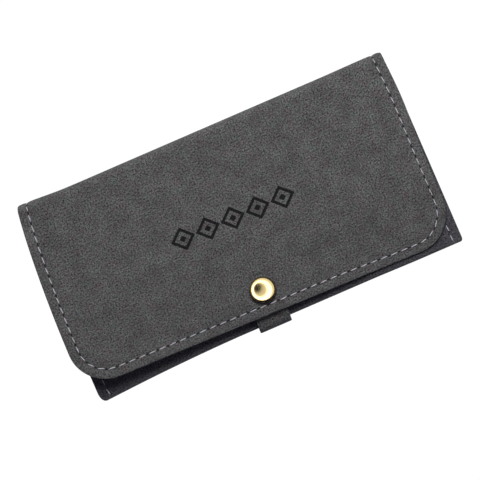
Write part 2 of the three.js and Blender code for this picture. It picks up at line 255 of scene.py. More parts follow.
# %% Sizes in millimetres
SUEDE = 0.95
LINING = 0.6
WALL = SUEDE + LINING
GLUE = 0.03
HALF_WIDTH = 95
TOP = 49.25
BOTTOM = -49.25
SEAM_LINE = 89.5
MOUTH = 42.25
SEAM_THICKNESS = 3.4
BOTTOM_THICKNESS = 4.6
CROWN_THICKNESS = 8.8
CROWN_FROM = 62
SIDE_FOLD = 7
MIDDLE_FOLD = 10.8
FOLD_BEND = 4.8
SPINE_LEAST = 0.3
FLAP_LENGTH = 89.9
FLAP_START = TOP - FOLD_BEND
FLAP_LEVEL = 13.15
SNAP = Vector((-2.61, -33.05))
print("suede and lining together, mm:", round(WALL, 2))

# %% [markdown]
# ## The shape of the folded cloth
#
# Cloth is cut flat and then folded, so each piece here starts as a flat grid and is laid on the
# folded shape. Cloth simulation could drape it, but where it comes to rest is hard to steer. A
# point on the grid is known by how far it is across the pouch and how far along the strip.
# The shape gives back where that point lies and which way leads into the cloth, so the lining
# is the same shape taken deeper.

# %% How thick the pouch is
PILLOW_POWER = 5


def lerp(a, b, t):
    return a + (b - a) * t


def smooth(value, low, high):
    """0 up to low and 1 from high on, with a soft rise between them."""
    t = np.clip((value - low) / (high - low), 0, 1)
    return t * t * (3 - 2 * t)


def pillow(x):
    """1 in the middle, and 0 at the side seams, where the layers are sewn flat."""
    return 1 - np.minimum(1, np.abs(x) / SEAM_LINE) ** PILLOW_POWER


def thickness(x, y):
    rise = smooth(y, BOTTOM + BOTTOM_THICKNESS / 2, BOTTOM + CROWN_FROM)
    return lerp(SEAM_THICKNESS, lerp(BOTTOM_THICKNESS, CROWN_THICKNESS, rise), pillow(x))


def fold_at(x):
    """Height of the top fold, and the radius of its two bends."""
    height = lerp(SIDE_FOLD, MIDDLE_FOLD, pillow(x))
    return height, np.minimum(FOLD_BEND, height / 2 - SPINE_LEAST)


print("thickness at the bottom and at the mouth, mm:",
      [round(float(thickness(0, y)), 1) for y in (BOTTOM, MOUTH)])

# %% [markdown]
# The body's strip runs from the middle of the top fold down the back, round the bottom fold and
# up the front to the mouth. The flap's strip runs from the same line over the top and down.

# %% Stretches of the strip
SPINE = MIDDLE_FOLD / 2 - FOLD_BEND
BEND = FOLD_BEND * math.pi / 2
TURN = math.pi * BOTTOM_THICKNESS / 2
BACK = FLAP_START - BOTTOM - BOTTOM_THICKNESS / 2
FRONT = MOUTH - BOTTOM - BOTTOM_THICKNESS / 2
BODY_STOPS = np.cumsum([0, SPINE, BEND, BACK, TURN, FRONT])
BACK_FROM, BACK_TO, FRONT_FROM, MOUTH_AT = BODY_STOPS[2:]
FLAP_END = SPINE + BEND + FLAP_LENGTH
print("body strip, mm:", round(MOUTH_AT, 1), " flap strip, mm:", round(FLAP_END, 1))


def stretch_of(along, stops=BODY_STOPS):
    """Which of a strip's five stretches a point is in, and its share of that stretch."""
    stretch = np.clip(np.searchsorted(stops, along, side="right") - 1, 0, 4)
    share = (along - stops[stretch]) / (stops[stretch + 1] - stops[stretch])
    return stretch, np.clip(share, 0, 1)


# %% [markdown]
# A pouch in use is never quite straight. The bottom of this one is bowed, its lower left corner
# has sunk, its top fold stands higher at the ends, and its corners are worn round. Each of these
# small moves is added to the drawn shape with a value of its own, so that it can be set by
# itself, as it could not be in a sculpted mesh.

# %% How this pouch has settled
TOP_LIFT = 0.5
END_LIFT = 0.3
LEFT_END_LIFT = 0.9
RIGHT_END_WEAR = 0.35
BOTTOM_BOW = 0.6
LEFT_SAG = 3.0
RIGHT_SAG = 0.3
LEFT_WEAR = 5.0
RIGHT_WEAR = 2.0
WEAR_SHARE = 0.6
SPREAD = 1.012
SPREAD_LOST_AT_TOP = 0.009


def quarter_round(share):
    """How far a quarter circle of radius 1 has drawn in, at a share of its way round."""
    return 1 - np.sqrt(1 - share**2)


def top_rise(x):
    """The top fold stands a little higher towards its ends, and its right corner is worn round."""
    ends = END_LIFT * smooth(np.abs(x), 60, 90) + LEFT_END_LIFT * smooth(-x, 70, HALF_WIDTH)
    return TOP_LIFT + ends - RIGHT_END_WEAR * smooth(x, 93, HALF_WIDTH)


def settle_body(x, y):
    """How this pouch has settled: a bowed bottom, a lower left corner and rounded corners."""
    low = smooth(-y, -5, -BOTTOM)
    left = LEFT_SAG * np.clip((-x - 20) / 75, 0, 2) ** 1.6
    drop = BOTTOM_BOW + left + RIGHT_SAG * smooth(x, 45, 75)
    corner = np.where(x < 0, LEFT_WEAR, RIGHT_WEAR)
    up = np.clip((y - BOTTOM) / corner, 0, 1)
    inset = WEAR_SHARE * corner * quarter_round(1 - up) * smooth(np.abs(x), 60, HALF_WIDTH)
    wide = x * (SPREAD - SPREAD_LOST_AT_TOP * smooth(y, 30, TOP)) - np.sign(x) * inset
    return wide, y - drop * low + top_rise(x) * smooth(y, 10, TOP)


print("top fold at its left end rises, mm:", round(float(top_rise(-HALF_WIDTH)), 2))

# %% [markdown]
# Seen from the side, the body's strip is five simple stretches: half the spine of the top fold,
# a quarter turn, the flat back, a half turn round the bottom, and the front. Each has a short
# formula, and np.select picks the one for the stretch that a point is in. At depth 0 the point
# lies on the outside of the cloth, and more depth takes it inwards.

# %% Where the body's cloth lies


def body_point(across, along, depth=0.0):
    """Where a point of the body's strip lies, in millimetres, at a depth below the outside."""
    stretch, share = stretch_of(along)
    height, bend = fold_at(across)
    radius = thickness(across, BOTTOM) / 2
    tilt = np.radians(-90 * share)
    turn = np.radians(-90 - 180 * share)
    front = lerp(BOTTOM + radius, MOUTH, share)
    zero = np.zeros_like(share)
    here = [stretch == k for k in range(5)]
    y = np.select(here, [
        TOP + zero,
        TOP - bend + bend * np.cos(tilt),
        lerp(TOP - bend, BOTTOM + radius, share),
        BOTTOM + radius + radius * np.cos(turn),
        front,
    ])
    z = np.select(here, [
        lerp(height / 2, bend, share),
        bend + bend * np.sin(tilt),
        zero,
        radius + radius * np.sin(turn),
        thickness(across, front),
    ])
    in_y = np.select(here, [zero - 1, -np.cos(tilt), zero, -np.cos(turn), zero])
    in_z = np.select(here, [zero, -np.sin(tilt), zero + 1, -np.sin(turn), zero - 1])
    x, y = settle_body(across, y + in_y * depth)
    return np.stack([x, y, z + in_z * depth], axis=-1)


print("mouth of the pocket, mm:", body_point(np.array([0.0]), np.array([MOUTH_AT]))[0].round(1))

# %% [markdown]
# The flap lies a little askew, and bulges to the left. Its left corner stands up, its hem falls
# towards the right, and its right edge is rolled under. The press stud holds the hem up in the
# middle. As with the body, each of these has a value of its own.

# %% Sizes of the flap in millimetres
LEFT_CORNER = 18.3
RIGHT_CORNER = 19.5
STITCH_INSET = 4.7
STITCH_PITCH = 5.05
LEFT_MARGIN = 0.3
LEFT_BULGE = 5.5
LEFT_BULGE_RUN = 25
RIGHT_MARGIN = 0.2
RIGHT_BULGE = 0.7
RIGHT_TUCK = 0.6
LEFT_DROOP = 0.3
RIGHT_SINK = 1.9
RIGHT_DROOP = 1.6
RIGHT_ROLL = 0.8
ROLL_WIDTH = 6
LEAST_REACH = 0.001
HEM_FALL = 3.8
HELD_ACROSS = 16
HELD_DOWN = 14
FLAP_SKEW = 1.9


def half_hem(corner):
    """Length of the stitch line on one side, from the top fold to the middle of the hem."""
    return FLAP_END - corner + (corner - STITCH_INSET) * math.pi / 2 + HALF_WIDTH - corner


HEM_LENGTH = half_hem(LEFT_CORNER) + half_hem(RIGHT_CORNER)
HEM_STITCHES = round(HEM_LENGTH / STITCH_PITCH)
HEM_PITCH = HEM_LENGTH / HEM_STITCHES
print("hem, mm:", round(HEM_LENGTH, 1), " stitches:", HEM_STITCHES, " pitch:", round(HEM_PITCH, 2))

# %% Outline and height of the flap


def edge_roll(across, along, down):
    """How far the right edge is rolled under, and how much of that is across and along."""
    beside = np.clip(RIGHT_CORNER - HALF_WIDTH + across, 0, None)
    below = np.clip(RIGHT_CORNER - FLAP_END + along, 0, None)
    reach = np.maximum(np.hypot(beside, below), LEAST_REACH)
    part = smooth(across, 30, 70) * smooth(down, 20, 50)
    roll = RIGHT_ROLL * part * smooth(reach, RIGHT_CORNER - ROLL_WIDTH, RIGHT_CORNER)
    return roll, beside / reach, below / reach


def flap_sides(along):
    """How far the flap reaches to the left and to the right of the middle."""
    left = HALF_WIDTH + LEFT_MARGIN + LEFT_BULGE * (1 - np.exp(-along / LEFT_BULGE_RUN)) ** 1.2
    bulge = RIGHT_BULGE * smooth(along, 4, 26)
    right = HALF_WIDTH + RIGHT_MARGIN + bulge - RIGHT_TUCK * smooth(along, 26, 62)
    return left, right


def flap_level(across, down, height):
    """How high the flap lies, between the top fold's height and the fallen hem."""
    s = across / HALF_WIDTH
    droop = np.where(s < 0, LEFT_DROOP, RIGHT_DROOP) * np.abs(s) ** 3
    low = FLAP_LEVEL - droop - RIGHT_SINK * smooth(across, 6, 60)
    beside = (across - SNAP.x) / HELD_ACROSS
    below = (down - FLAP_START + SNAP.y) / HELD_DOWN
    held = np.exp(-(beside**2) - below**2)
    fall = HEM_FALL * smooth(across, -80, 5) * smooth(down, 50, FLAP_LENGTH) * (1 - held)
    return lerp(height, low, smooth(down, 0, 66)) - fall


print("height of the hem at the left and at the right, mm:", [
    round(float(flap_level(x, FLAP_LENGTH, SIDE_FOLD)), 1) for x in (-HALF_WIDTH, HALF_WIDTH)])

# %% Where the flap's cloth lies


def flap_point(across, along, depth=0.0):
    """Where a point of the flap's strip lies, in millimetres, at a depth below the outside."""
    height, bend = fold_at(across)
    share = np.clip(along / SPINE, 0, 1)
    turned = np.clip((along - SPINE) / BEND, 0, 1)
    down = np.clip(along - SPINE - BEND, 0, None)
    tilt = np.radians(90 * turned)
    s = across / HALF_WIDTH
    left, right = flap_sides(along)
    roll, aside, downward = edge_roll(across, along, down)
    x = (right - left) / 2 + s * (right + left) / 2 - roll * aside
    reach = down * (TOP - bend - FLAP_START + FLAP_LENGTH) / FLAP_LENGTH
    y = TOP - bend + bend * np.cos(tilt) - reach
    y = y - FLAP_SKEW * down / FLAP_LENGTH * s
    y = y - RIGHT_ROLL * smooth(across, 30, 70) * smooth(down, 40, FLAP_LENGTH) + roll * downward
    y = y + top_rise(across) * smooth(-down, -35, 0)
    rest = flap_level(across, down, height) - roll
    z = np.where(down > 0, rest, height - bend + bend * np.sin(tilt))
    z = np.where(turned > 0, z, lerp(height / 2, height - bend, share))
    in_y = -np.cos(tilt)
    in_z = -np.sin(tilt)
    return np.stack([x, y + in_y * depth, z + in_z * depth], axis=-1)


print("middle of the hem, mm:", flap_point(np.array([0.0]), np.array([FLAP_END]))[0].round(1))

# %% [markdown]
# A line of stitches follows the flap's edge, down the left side, along the hem and up the right
# side. To lay it, each point of the flap gets its distance from the edge and how far along the
# line it is. A curve and its nearest points would give the same, but more slowly.

# %% Stitch line of the flap


def corner_of(across):
    return np.where(across < 0, LEFT_CORNER, RIGHT_CORNER)


def flap_edge(across, along):
    """Distance along the stitch line, and distance from the cut edge."""
    corner = corner_of(across)
    side = HALF_WIDTH - np.abs(across)
    end = FLAP_END - along
    in_corner = (side < corner) & (end < corner)
    from_corner = corner - np.hypot(corner - side, corner - end)
    from_edge = np.where(in_corner, from_corner, np.minimum(side, end))
    turn = np.arctan2(corner - end, corner - side)
    straight = FLAP_END - corner
    round_end = straight + (corner - STITCH_INSET) * np.pi / 2
    low = round_end + HALF_WIDTH - corner - np.abs(across)
    path = np.where(side < end, along, low)
    path = np.where(in_corner, straight + (corner - STITCH_INSET) * turn, path)
    return np.where(across < 0, path, HEM_LENGTH - path), from_edge


print("from the cut edge to the stitches, mm:", STITCH_INSET)

# %% [markdown]
# A stitch pulls the cloth down along its line, and the needle leaves a small pit between two
# stitches. The cut edge is rounded, and the cloth is pressed in under and round the press stud's
# cap. Bump in the material could fake the grooves, but the stitches and the cap would have
# nothing to sink into, so all of this is in the mesh.

# %% Grooves, pits and edges in the cloth
GROOVE_DEPTH = 0.24
GROOVE_WIDTH = 1.0
PIT_DEPTH = 0.2
PIT_LENGTH = 0.9
PIT_WIDTH = 0.8
EDGE_DROP = 0.3
EDGE_WIDTH = 1.2
WAVE_HEIGHT = 0.16
CAP_SINK = 0.2
CAP_GROOVE_RADIUS = 7.0
CAP_GROOVE_DEPTH = 1.0
CAP_GROOVE_WIDTH = 1.0


def stitch_groove(from_edge):
    """The groove that a row of stitches presses along its line."""
    return GROOVE_DEPTH * np.exp(-(((from_edge - STITCH_INSET) / GROOVE_WIDTH) ** 2))


def stitch_dent(path, from_edge, pitch):
    """How deep the stitches press the cloth in, in millimetres."""
    off = (np.mod(path / pitch + 0.5, 1) - 0.5) * pitch
    aside = (from_edge - STITCH_INSET) / PIT_WIDTH
    pit = PIT_DEPTH * np.exp(-((off / PIT_LENGTH) ** 2) - aside**2)
    edge = EDGE_DROP * np.clip(1 - from_edge / EDGE_WIDTH, 0, 1) ** 2
    return stitch_groove(from_edge) + pit + edge


def wave(x, y):
    """The slight unevenness of cloth that lies on what is packed in it."""
    long = np.sin(x / 19 + 1.1) * np.sin(y / 15 + 0.4)
    short = 0.6 * np.sin(x / 8.5 + y / 11)
    return WAVE_HEIGHT * (long + short)


def snap_dent(x, y):
    """The cloth is clamped under the cap, and sinks in a groove round the cap's rim."""
    away = np.hypot(x - SNAP.x, y - SNAP.y)
    groove = np.exp(-(((away - CAP_GROOVE_RADIUS) / CAP_GROOVE_WIDTH) ** 2))
    return CAP_SINK * smooth(-away, -9, -6) + CAP_GROOVE_DEPTH * groove


def soft_dents(across, along):
    """The give of the flap's cloth, which its stitches and its lining follow too."""
    base = flap_point(across, along)
    flat = smooth(along, 14, 24)
    return flat * (snap_dent(base[..., 0], base[..., 1]) + wave(base[..., 0], base[..., 1]))


print("groove along the stitches, mm:", GROOVE_DEPTH)

# %% [markdown]
# ## From a flat grid to a piece of cloth
#
# Blender's grid operator makes the flat cloth. Its points are then laid on the folded shape, and
# solidify gives it its thickness on the inside. The cut edges are bevelled, since a knife-sharp
# edge never shows on suede. Two UV maps go with it: the flat pattern in metres, and the stitch
# line, as stitches along and millimetres from the edge.

# %% Columns and rows of a sheet
NO_STITCH = 60.0


def spaced(*parts):
    """Places from (start, end, step), joined end to end."""
    runs = [np.linspace(a, b, max(2, round(abs(b - a) / step) + 1)) for a, b, step in parts]
    return np.concatenate([runs[0], *[run[1:] for run in runs[1:]]])


def columns_of(half, fine_from, fine, coarse):
    """Places from the left edge to the right one, set closer together near both."""
    return spaced((-half, -fine_from, fine), (-fine_from, fine_from, coarse), (fine_from, half, fine))


def unsewn(along):
    """Stitch coordinates far from any stitch, for cloth that shows none."""
    return np.stack([along, NO_STITCH + 0 * along], -1)


print("columns across the body's suede:", len(columns_of(HALF_WIDTH, 86, 0.75, 1.5)))

# %% Lay a sheet of cloth
CUT_ANGLE = 1.0


def finish_piece(name, bm, material):
    """Turns the bmesh, in millimetres, into an object in metres at the origin."""
    bmesh.ops.scale(bm, vec=(MM, MM, MM), verts=bm.verts)
    for face in bm.faces:
        face.smooth = True
    mesh = bpy.data.meshes.new(name)
    bm.to_mesh(mesh)
    bm.free()
    mesh.materials.append(material)
    piece = bpy.data.objects.new(name, mesh)
    bpy.context.scene.collection.objects.link(piece)
    print(name, "has", sum(len(p.vertices) - 2 for p in mesh.polygons), "triangles")
    return piece


def is_joined(edge):
    """True on the line where the body's sheet goes on as the flap's, which isn't a cut edge."""
    a, b = [vert.co for vert in edge.verts]
    return min(a.y, b.y) > TOP - 2 and abs(a.x - b.x) > abs(a.z - b.z) + abs(a.y - b.y)


def sheet_of_cloth(name, columns, rows, place, thick, material, rounding=0.2):
    """place(across, along) gives points, pattern coordinates and stitch coordinates."""
    bm = bmesh.new()
    bmesh.ops.create_grid(bm, x_segments=len(columns) - 1, y_segments=len(rows) - 1, size=1)
    flat = np.array([vert.co for vert in bm.verts])
    i = np.rint((flat[:, 0] + 1) / 2 * (len(columns) - 1)).astype(int)
    j = np.rint((flat[:, 1] + 1) / 2 * (len(rows) - 1)).astype(int)
    points, pattern, stitches = place(columns[i], rows[j])
    for vert, point in zip(bm.verts, points):
        vert.co = point
    pattern_layer = bm.loops.layers.uv.new("pattern")
    stitch_layer = bm.loops.layers.uv.new("stitch_line")
    bm.verts.index_update()
    for face in bm.faces:
        for loop in face.loops:
            index = loop.vert.index
            loop[pattern_layer].uv = pattern[index] * MM
            loop[stitch_layer].uv = stitches[index]
    bm.normal_update()
    bmesh.ops.solidify(bm, geom=bm.faces[:], thickness=thick)
    bm.normal_update()
    rim = [e for e in bm.edges if e.calc_face_angle(0) > CUT_ANGLE and not is_joined(e)]
    bmesh.ops.bevel(bm, geom=rim, offset=rounding, segments=2, profile=0.5,
                    affect="EDGES", material=-1, clamp_overlap=True)
    return finish_piece(name, bm, material)


# %% [markdown]
# ## Finish: suede
#
# Charcoal suede is split leather, brushed until its fibres stand up. It has no shine, but the
# nap lies in patches, so its tone is mottled at about a millimetre and again in soft clouds. A
# picture of suede could be laid on it, but noise sized in millimetres has no seams and stays
# sharp up close. The fibres are too fine to show, so they are drawn at a quarter of a
# millimetre, in the bump only. A little sheen pales the suede where it turns away from the eye.

# %% Sizes and colours of the suede
WARM_GREY = 0x5A4F50
COOL_GREY = 0x49534F
SHEEN_GREY = 0x8C90A4
GRAIN = 0.75
CLOUD = 8.0
TINT = 4.0
FIBRE = 0.25
FIBRE_SHARE = 0.5
GRAIN_TONES = (0.15, 1.85)
CLOUD_TONES = (0.77, 1.23)
# From here on the front panel is darker and bluer: partly its nap, which lies the other way, and
# partly painted shade for the flap's shadow on the panel.
NAP_AND_SHADE_START = BACK_TO + 2.5
NAP_AND_SHADE_BLEND = 7.0
NAP_AND_SHADE_DARK = 0.61
NAP_AND_SHADE_GREY = 0x514F53


def flat_cloth(tree):
    """Where a point lies on the cloth as it was cut, in millimetres."""
    pattern = add_node(tree, "UVMap", uv_map="pattern")
    return add_node(tree, "Mapping", {"Vector": pattern, "Scale": (1 / MM, 1 / MM, 1 / MM)})


print("suede grain, mm:", GRAIN, " clouds, mm:", CLOUD)

# %% [markdown]
# Some marks in the suede are darker than its nap. The needle's pits between the stitches are
# painted dark, as painted shade in the holes. A hot stamp has pressed a band of lozenges into the
# flap, each a line round a small heart. Round the cap a painted shadow darkens the nap. All
# three are drawn by distance: from the stitch line, from the lozenge's outline and from a point
# just off the middle of the cap.

# %% Painted pit shade, stamp and painted cap shadow
# The needle's pits are dents in the mesh, and are also painted dark, as painted shade in the holes.
PIT_SHADE_LENGTH = 0.85
PIT_SHADE_WIDTH = 0.5
PIT_SHADE_TONE = 0.16
LOZENGES = 5
BAND_PITCH = 12.6
BAND_DOWN = 48.4
LOZENGE_WIDTH = 11.8
LOZENGE_HEIGHT = 11.4
LOZENGE_RING = 0.86
LOZENGE_LINE = 0.17
LOZENGE_HEART = 0.3
STAMP_TONE = 0.09
STAMP_PRESS = 1.6
# Painted shadow of the cap on the flap: a dark ring whose middle lies a little off the cap's, away
# from the light.
CAP_SHADOW_AT = (0.0, -86.0, 0)
CAP_SHADOW_RADIUS = 6.1
CAP_SHADOW_EDGE = 0.7
CAP_SHADOW_TONE = 0.12


def needle_pit_shade(tree):
    """Painted shade in the needle's pits: dark where the needle went in, and 1 elsewhere."""
    line = add_node(tree, "UVMap", uv_map="stitch_line")
    place = add_node(tree, "SeparateXYZ", {0: line})
    half_on = add_node(tree, "Math", {0: place.outputs[0], 1: 0.5}, operation="ADD")
    shifted = add_node(tree, "Math", {0: half_on}, operation="FRACT")
    stitches_off = add_node(tree, "Math", {0: shifted, 1: 0.5}, operation="SUBTRACT")
    off = add_node(tree, "Math", {0: stitches_off, 1: STITCH_PITCH}, operation="MULTIPLY")
    aside = add_node(tree, "Math", {0: place.outputs[1], 1: STITCH_INSET}, operation="SUBTRACT")
    long = add_node(tree, "Math", {0: off, 1: PIT_SHADE_LENGTH}, operation="DIVIDE")
    wide = add_node(tree, "Math", {0: aside, 1: PIT_SHADE_WIDTH}, operation="DIVIDE")
    long = add_node(tree, "Math", {0: long, 1: 2.0}, operation="POWER")
    wide = add_node(tree, "Math", {0: wide, 1: 2.0}, operation="POWER")
    far = add_node(tree, "Math", {0: long, 1: wide}, operation="ADD")
    return add_node(tree, "MapRange", {
        "Value": far, "From Min": 0.3, "From Max": 1.4, "To Min": PIT_SHADE_TONE, "To Max": 1.0})


def stamped_band(tree, flat):
    """1 where the hot stamp pressed the band of lozenges into the flap, and 0 elsewhere."""
    place = add_node(tree, "SeparateXYZ", {0: flat})
    aside = add_node(tree, "Math", {0: place.outputs[0]}, operation="ABSOLUTE")
    below = add_node(tree, "Math", {0: place.outputs[1], 1: BAND_DOWN}, operation="ADD")
    down = add_node(tree, "Math", {0: below}, operation="ABSOLUTE")
    in_cell = add_node(tree, "Math", {
        0: place.outputs[0], 1: BAND_PITCH / 2}, operation="PINGPONG")
    wide = add_node(tree, "Math", {0: in_cell, 1: LOZENGE_WIDTH / 2}, operation="DIVIDE")
    high = add_node(tree, "Math", {0: down, 1: LOZENGE_HEIGHT / 2}, operation="DIVIDE")
    ring_at = add_node(tree, "Math", {0: wide, 1: high}, operation="ADD")
    off_ring = add_node(tree, "Math", {0: ring_at, 1: LOZENGE_RING}, operation="SUBTRACT")
    off_line = add_node(tree, "Math", {0: off_ring}, operation="ABSOLUTE")
    line = add_node(tree, "Math", {0: off_line, 1: LOZENGE_LINE}, operation="LESS_THAN")
    heart = add_node(tree, "Math", {0: ring_at, 1: LOZENGE_HEART}, operation="LESS_THAN")
    marks = add_node(tree, "Math", {0: line, 1: heart}, operation="MAXIMUM")
    inside = add_node(tree, "Math", {
        0: aside, 1: LOZENGES * BAND_PITCH / 2}, operation="LESS_THAN")
    return add_node(tree, "Math", {0: marks, 1: inside}, operation="MULTIPLY")


def cap_shadow_ring(tree, flat):
    """Painted shadow of the cap: dark in a ring round a point just off the cap's middle, and 1
    further out.
    """
    from_cap = add_node(tree, "VectorMath", {0: flat, 1: CAP_SHADOW_AT}, operation="DISTANCE")
    return add_node(tree, "MapRange", {
        "Value": from_cap.outputs["Value"], "From Min": CAP_SHADOW_RADIUS,
        "From Max": CAP_SHADOW_RADIUS + CAP_SHADOW_EDGE, "To Min": CAP_SHADOW_TONE, "To Max": 1.0})


print("lozenges in the band:", LOZENGES, " band, mm:", round(LOZENGES * BAND_PITCH, 1))

# %% [markdown]
# The tone of the suede is a product: tufts, times clouds, times each mark. The front panel goes
# on from the back round the bottom fold, and its tone is darker and bluer there: partly because
# its nap lies the other way, and partly as painted shade for the flap's shadow on it. The strap
# is drawn a little darker.

# %% Suede


def make_suede(name, stitched=True, stamped=False, tone_level=1.0, nap_and_shade_from=None):
    """How far along the strip, if at all, the tone turns darker and bluer: partly for the nap that
    lies away from the light, and partly as painted shade for the flap's shadow.
    """
    material, tree = new_material(name)
    flat = flat_cloth(tree)
    grain = add_node(tree, "TexNoise", {
        "Vector": flat, "Scale": 1 / GRAIN, "Detail": 3.0, "Roughness": 0.6})
    cloud = add_node(tree, "TexNoise", {
        "Vector": flat, "Scale": 1 / CLOUD, "Detail": 3.0, "Roughness": 0.65})
    fibre = add_node(tree, "TexNoise", {
        "Vector": flat, "Scale": 1 / FIBRE, "Detail": 4.0, "Roughness": 0.7})
    tint = add_node(tree, "TexNoise", {"Vector": flat, "Scale": 1 / TINT, "Detail": 2.0})
    tuft = add_node(tree, "MapRange", {
        "Value": grain, "From Min": 0.34, "From Max": 0.66,
        "To Min": GRAIN_TONES[0] * tone_level, "To Max": GRAIN_TONES[1] * tone_level})
    patch = add_node(tree, "MapRange", {
        "Value": cloud, "From Min": 0.3, "From Max": 0.7,
        "To Min": CLOUD_TONES[0], "To Max": CLOUD_TONES[1]})
    tone = add_node(tree, "Math", {0: tuft, 1: patch}, operation="MULTIPLY")
    fuzz = add_node(tree, "Math", {0: fibre, 1: FIBRE_SHARE}, operation="MULTIPLY")
    height = add_node(tree, "Math", {0: grain, 1: fuzz}, operation="ADD")
    dye = add_node(tree, "MixRGB", {
        "Fac": tint, "Color1": linear(WARM_GREY), "Color2": linear(COOL_GREY)})
    # Partly painted shade: the front panel is darkened and tinted blue along the strip.
    if nap_and_shade_from is not None:
        place = add_node(tree, "SeparateXYZ", {0: flat})
        nap_and_shade_share = add_node(tree, "MapRange", {
            "Value": place.outputs[1], "From Min": nap_and_shade_from, "From Max": nap_and_shade_from + NAP_AND_SHADE_BLEND,
        }, interpolation_type="SMOOTHSTEP")
        darker = add_node(tree, "Math", {
            0: nap_and_shade_share, 1: NAP_AND_SHADE_DARK - 1, 2: 1.0}, operation="MULTIPLY_ADD")
        tone = add_node(tree, "Math", {0: tone, 1: darker}, operation="MULTIPLY")
        dye = add_node(tree, "MixRGB", {
            "Fac": nap_and_shade_share, "Color1": dye, "Color2": linear(NAP_AND_SHADE_GREY)})
    # Painted shade in the needle's pits.
    if stitched:
        tone = add_node(tree, "Math", {0: tone, 1: needle_pit_shade(tree)}, operation="MULTIPLY")
    if stamped:
        stamp = stamped_band(tree, flat)
        burnt = add_node(tree, "MapRange", {"Value": stamp, "To Min": 1.0, "To Max": STAMP_TONE})
        tone = add_node(tree, "Math", {0: tone, 1: burnt}, operation="MULTIPLY")
        # Painted shadow round the cap.
        tone = add_node(tree, "Math", {0: tone, 1: cap_shadow_ring(tree, flat)}, operation="MULTIPLY")
        pressed = add_node(tree, "Math", {0: stamp, 1: STAMP_PRESS}, operation="MULTIPLY")
        height = add_node(tree, "Math", {0: height, 1: pressed}, operation="SUBTRACT")
    shade = add_node(tree, "HueSaturation", {"Color": dye, "Value": tone})
    bump = add_node(tree, "Bump", {"Height": height, "Strength": 0.55, "Distance": 0.25 * MM})
    cloth = add_node(tree, "BsdfPrincipled", {
        "Base Color": shade, "Roughness": 0.95, "Specular IOR Level": 0.2, "Sheen Weight": 0.2,
        "Sheen Roughness": 0.6, "Sheen Tint": linear(SHEEN_GREY), "Normal": bump})
    add_node(tree, "OutputMaterial", {"Surface": cloth})
    print(name, "has", len(tree.nodes), "nodes")
    return material


suede = make_suede("charcoal suede, brushed", nap_and_shade_from=NAP_AND_SHADE_START)
# The strap is drawn a little darker than the rest of the suede.
strap_finish = make_suede("charcoal suede, strap", stitched=False, tone_level=0.78)
stamped_suede = make_suede("charcoal suede, blind stamped", stamped=True)

# %% [markdown]
# ## Finish: lining
#
# The lining is a thin plain-woven cloth in a darker grey. Each thread could be modelled, but
# two crossed waves give the same small checks at no cost. The threads are about 0.3 mm apart,
# which is finer than the picture shows, so they are drawn at 0.6 mm.

# %% Lining cloth
THREAD = 0.6
SLUB = 2.0
LINING_GREY = 0x3F3D41

lining, tree = new_material("grey lining, plain weave")
flat = flat_cloth(tree)
place = add_node(tree, "SeparateXYZ", {0: flat})
turns = 2 * math.pi / THREAD
warp = add_node(tree, "Math", {0: place.outputs[0], 1: turns}, operation="MULTIPLY")
weft = add_node(tree, "Math", {0: place.outputs[1], 1: turns}, operation="MULTIPLY")
warp = add_node(tree, "Math", {0: warp}, operation="SINE")
weft = add_node(tree, "Math", {0: weft}, operation="SINE")
weave = add_node(tree, "Math", {0: warp, 1: weft}, operation="MULTIPLY")
slub = add_node(tree, "TexNoise", {"Vector": flat, "Scale": 1 / SLUB, "Detail": 3.0})
uneven = add_node(tree, "Math", {0: slub, 1: 0.5}, operation="ADD")
tone = add_node(tree, "MapRange", {
    "Value": weave, "From Min": -1.0, "From Max": 1.0, "To Min": 0.85, "To Max": 1.15})
tone = add_node(tree, "Math", {0: tone, 1: uneven}, operation="MULTIPLY")
shade = add_node(tree, "HueSaturation", {"Color": linear(LINING_GREY), "Value": tone})
bump = add_node(tree, "Bump", {"Height": weave, "Strength": 0.3, "Distance": 0.1 * MM})
cloth = add_node(tree, "BsdfPrincipled", {
    "Base Color": shade, "Roughness": 0.85, "Specular IOR Level": 0.3, "Sheen Weight": 0.2,
    "Normal": bump})
add_node(tree, "OutputMaterial", {"Surface": cloth})
print("lining threads, mm:", THREAD)

# %% [markdown]
# ## The body
#
# The body's suede and its lining are two sheets, glued together in the real pouch. One solid
# could stand for both, but then the mouth's edge would not show two layers.

# %% Body suede
body_columns = columns_of(HALF_WIDTH, 86, 0.75, 1.5)
body_rows = np.concatenate([
    spaced((0, BACK_FROM, 0.75), (BACK_FROM, BACK_TO - 1, 1.3)),
    spaced((BACK_TO, FRONT_FROM, 0.6), (FRONT_FROM, FRONT_FROM + 14, 0.8)),
    spaced((FRONT_FROM + 15.4, MOUTH_AT, 1.4)),
])


def body_stitch_line(across, along):
    """The side seams are sewn on the back and on the front, but not round the bottom fold."""
    stretch, _ = stretch_of(along)
    height = body_point(across, along)[:, 1]
    from_edge = np.where(stretch == 3, NO_STITCH, HALF_WIDTH - np.abs(across))
    path = np.where(stretch < 2, along, BACK_FROM + FLAP_START - height)
    return path, from_edge


def lay_body(across, along):
    path, from_edge = body_stitch_line(across, along)
    points = body_point(across, along, stitch_dent(path, from_edge, STITCH_PITCH))
    return points, np.stack([across, along], -1), np.stack([path / STITCH_PITCH, from_edge], -1)


body_suede = sheet_of_cloth(
    "body_suede", body_columns, body_rows, lay_body, SUEDE, suede)

# %% [markdown]
# The lining is a bag: down the back, round a bottom fold of its own above the strap's slit, and
# up the front. It is drawn a hair inside the suede that it is glued to.

# %% Body lining
BAG_INSET = 6
BAG_LOW = BOTTOM + BAG_INSET


